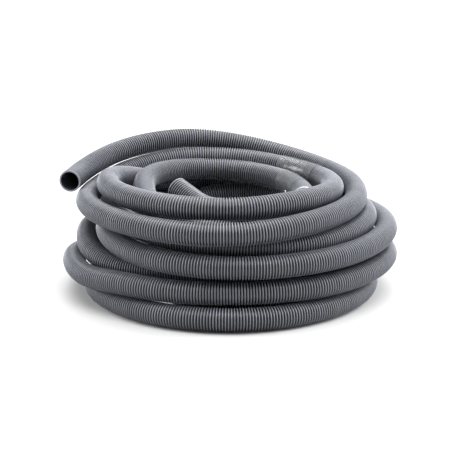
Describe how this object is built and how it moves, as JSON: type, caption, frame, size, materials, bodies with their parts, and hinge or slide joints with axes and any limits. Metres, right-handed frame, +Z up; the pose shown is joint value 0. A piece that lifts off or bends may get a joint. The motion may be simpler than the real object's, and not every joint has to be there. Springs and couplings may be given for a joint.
{
  "type": "coiled waste hose",
  "caption": "Ribbed flexible waste hose for a caravan or motorhome, lying in a loose free-standing coil with both ends plain cut and open.",
  "frame": {"origin": "on the ground, under the middle of the coil's box", "axes": "+X to the right of the coil, seen from the side on which the outer end lies to the left; +Y to the back; +Z up"},
  "size_m": [0.449, 0.4206, 0.1822],
  "materials": {
    "hose_pvc": "satin mid-grey PVC",
    "tie_nylon": "natural nylon, translucent white",
    "clear_film": "clear crinkled film"
  },
  "bodies": {
    "root": {"hose_end_outer": "hose_pvc", "hose_tail_outer": "hose_pvc", "hose_turn_1": "hose_pvc", "hose_turn_2": "hose_pvc", "hose_turn_3": "hose_pvc", "hose_turn_4": "hose_pvc", "hose_turn_5": "hose_pvc", "hose_turn_6": "hose_pvc", "hose_turn_7": "hose_pvc", "hose_turn_8": "hose_pvc", "hose_turn_9": "hose_pvc", "hose_tail_inner": "hose_pvc", "hose_end_inner": "hose_pvc", "cable_tie": "tie_nylon", "film_turn_2": "clear_film", "film_inner_loop": "clear_film"}
  },
  "joints": []
}
